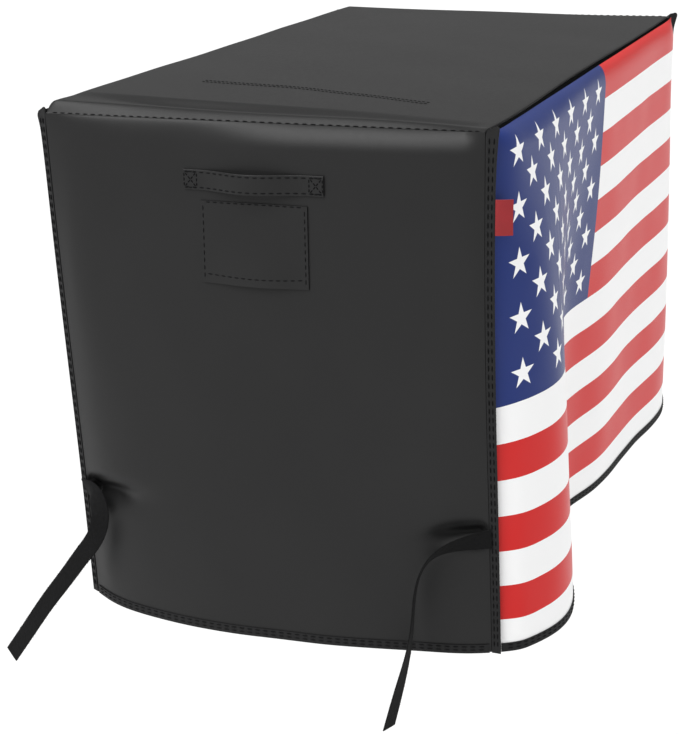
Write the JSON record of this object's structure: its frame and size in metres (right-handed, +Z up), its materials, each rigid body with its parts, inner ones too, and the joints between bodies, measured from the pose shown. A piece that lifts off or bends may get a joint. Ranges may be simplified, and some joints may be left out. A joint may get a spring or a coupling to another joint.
{
  "type": "fitted barbecue cover",
  "caption": "Hollow box-shaped fitted cover of coated cloth for a barbecue, with bound corner seams, a printed flag front, a grab handle, a vent flap and two tie straps.",
  "frame": {"origin": "under the middle of the top panel, at the height of the top seams, where the covered barbecue holds the cover up", "axes": "+X along the length, away from the end with the handle; +Y from the printed front to the back; +Z up"},
  "size_m": [1.079, 0.7508, 0.769],
  "materials": {
    "black_cloth": "black coated woven cloth with a soft gloss",
    "black_binding": "black woven binding tape with two rows of stitches",
    "printed_cloth": "coated woven cloth printed with a flag of red and white stripes and a blue field of white stars",
    "hook_and_loop": "black fuzzy hook and loop strap",
    "red_label": "plain red woven label"
  },
  "bodies": {
    "root": {"front_panel": "printed_cloth", "near_end_panel": "black_cloth", "back_panel": "black_cloth", "far_end_panel": "black_cloth", "top_panel": "black_cloth", "front_hem_binding": "black_binding", "near_end_hem_binding": "black_binding", "back_hem_binding": "black_binding", "far_end_hem_binding": "black_binding", "front_near_corner_strip": "black_binding", "back_near_corner_strip": "black_binding", "back_far_corner_strip": "black_binding", "front_far_corner_strip": "black_binding", "front_top_piping": "black_binding", "back_top_piping": "black_binding", "handle": "black_cloth", "vent_flap": "black_cloth", "side_label": "red_label", "front_tie": "hook_and_loop", "back_tie": "hook_and_loop"}
  },
  "joints": []
}
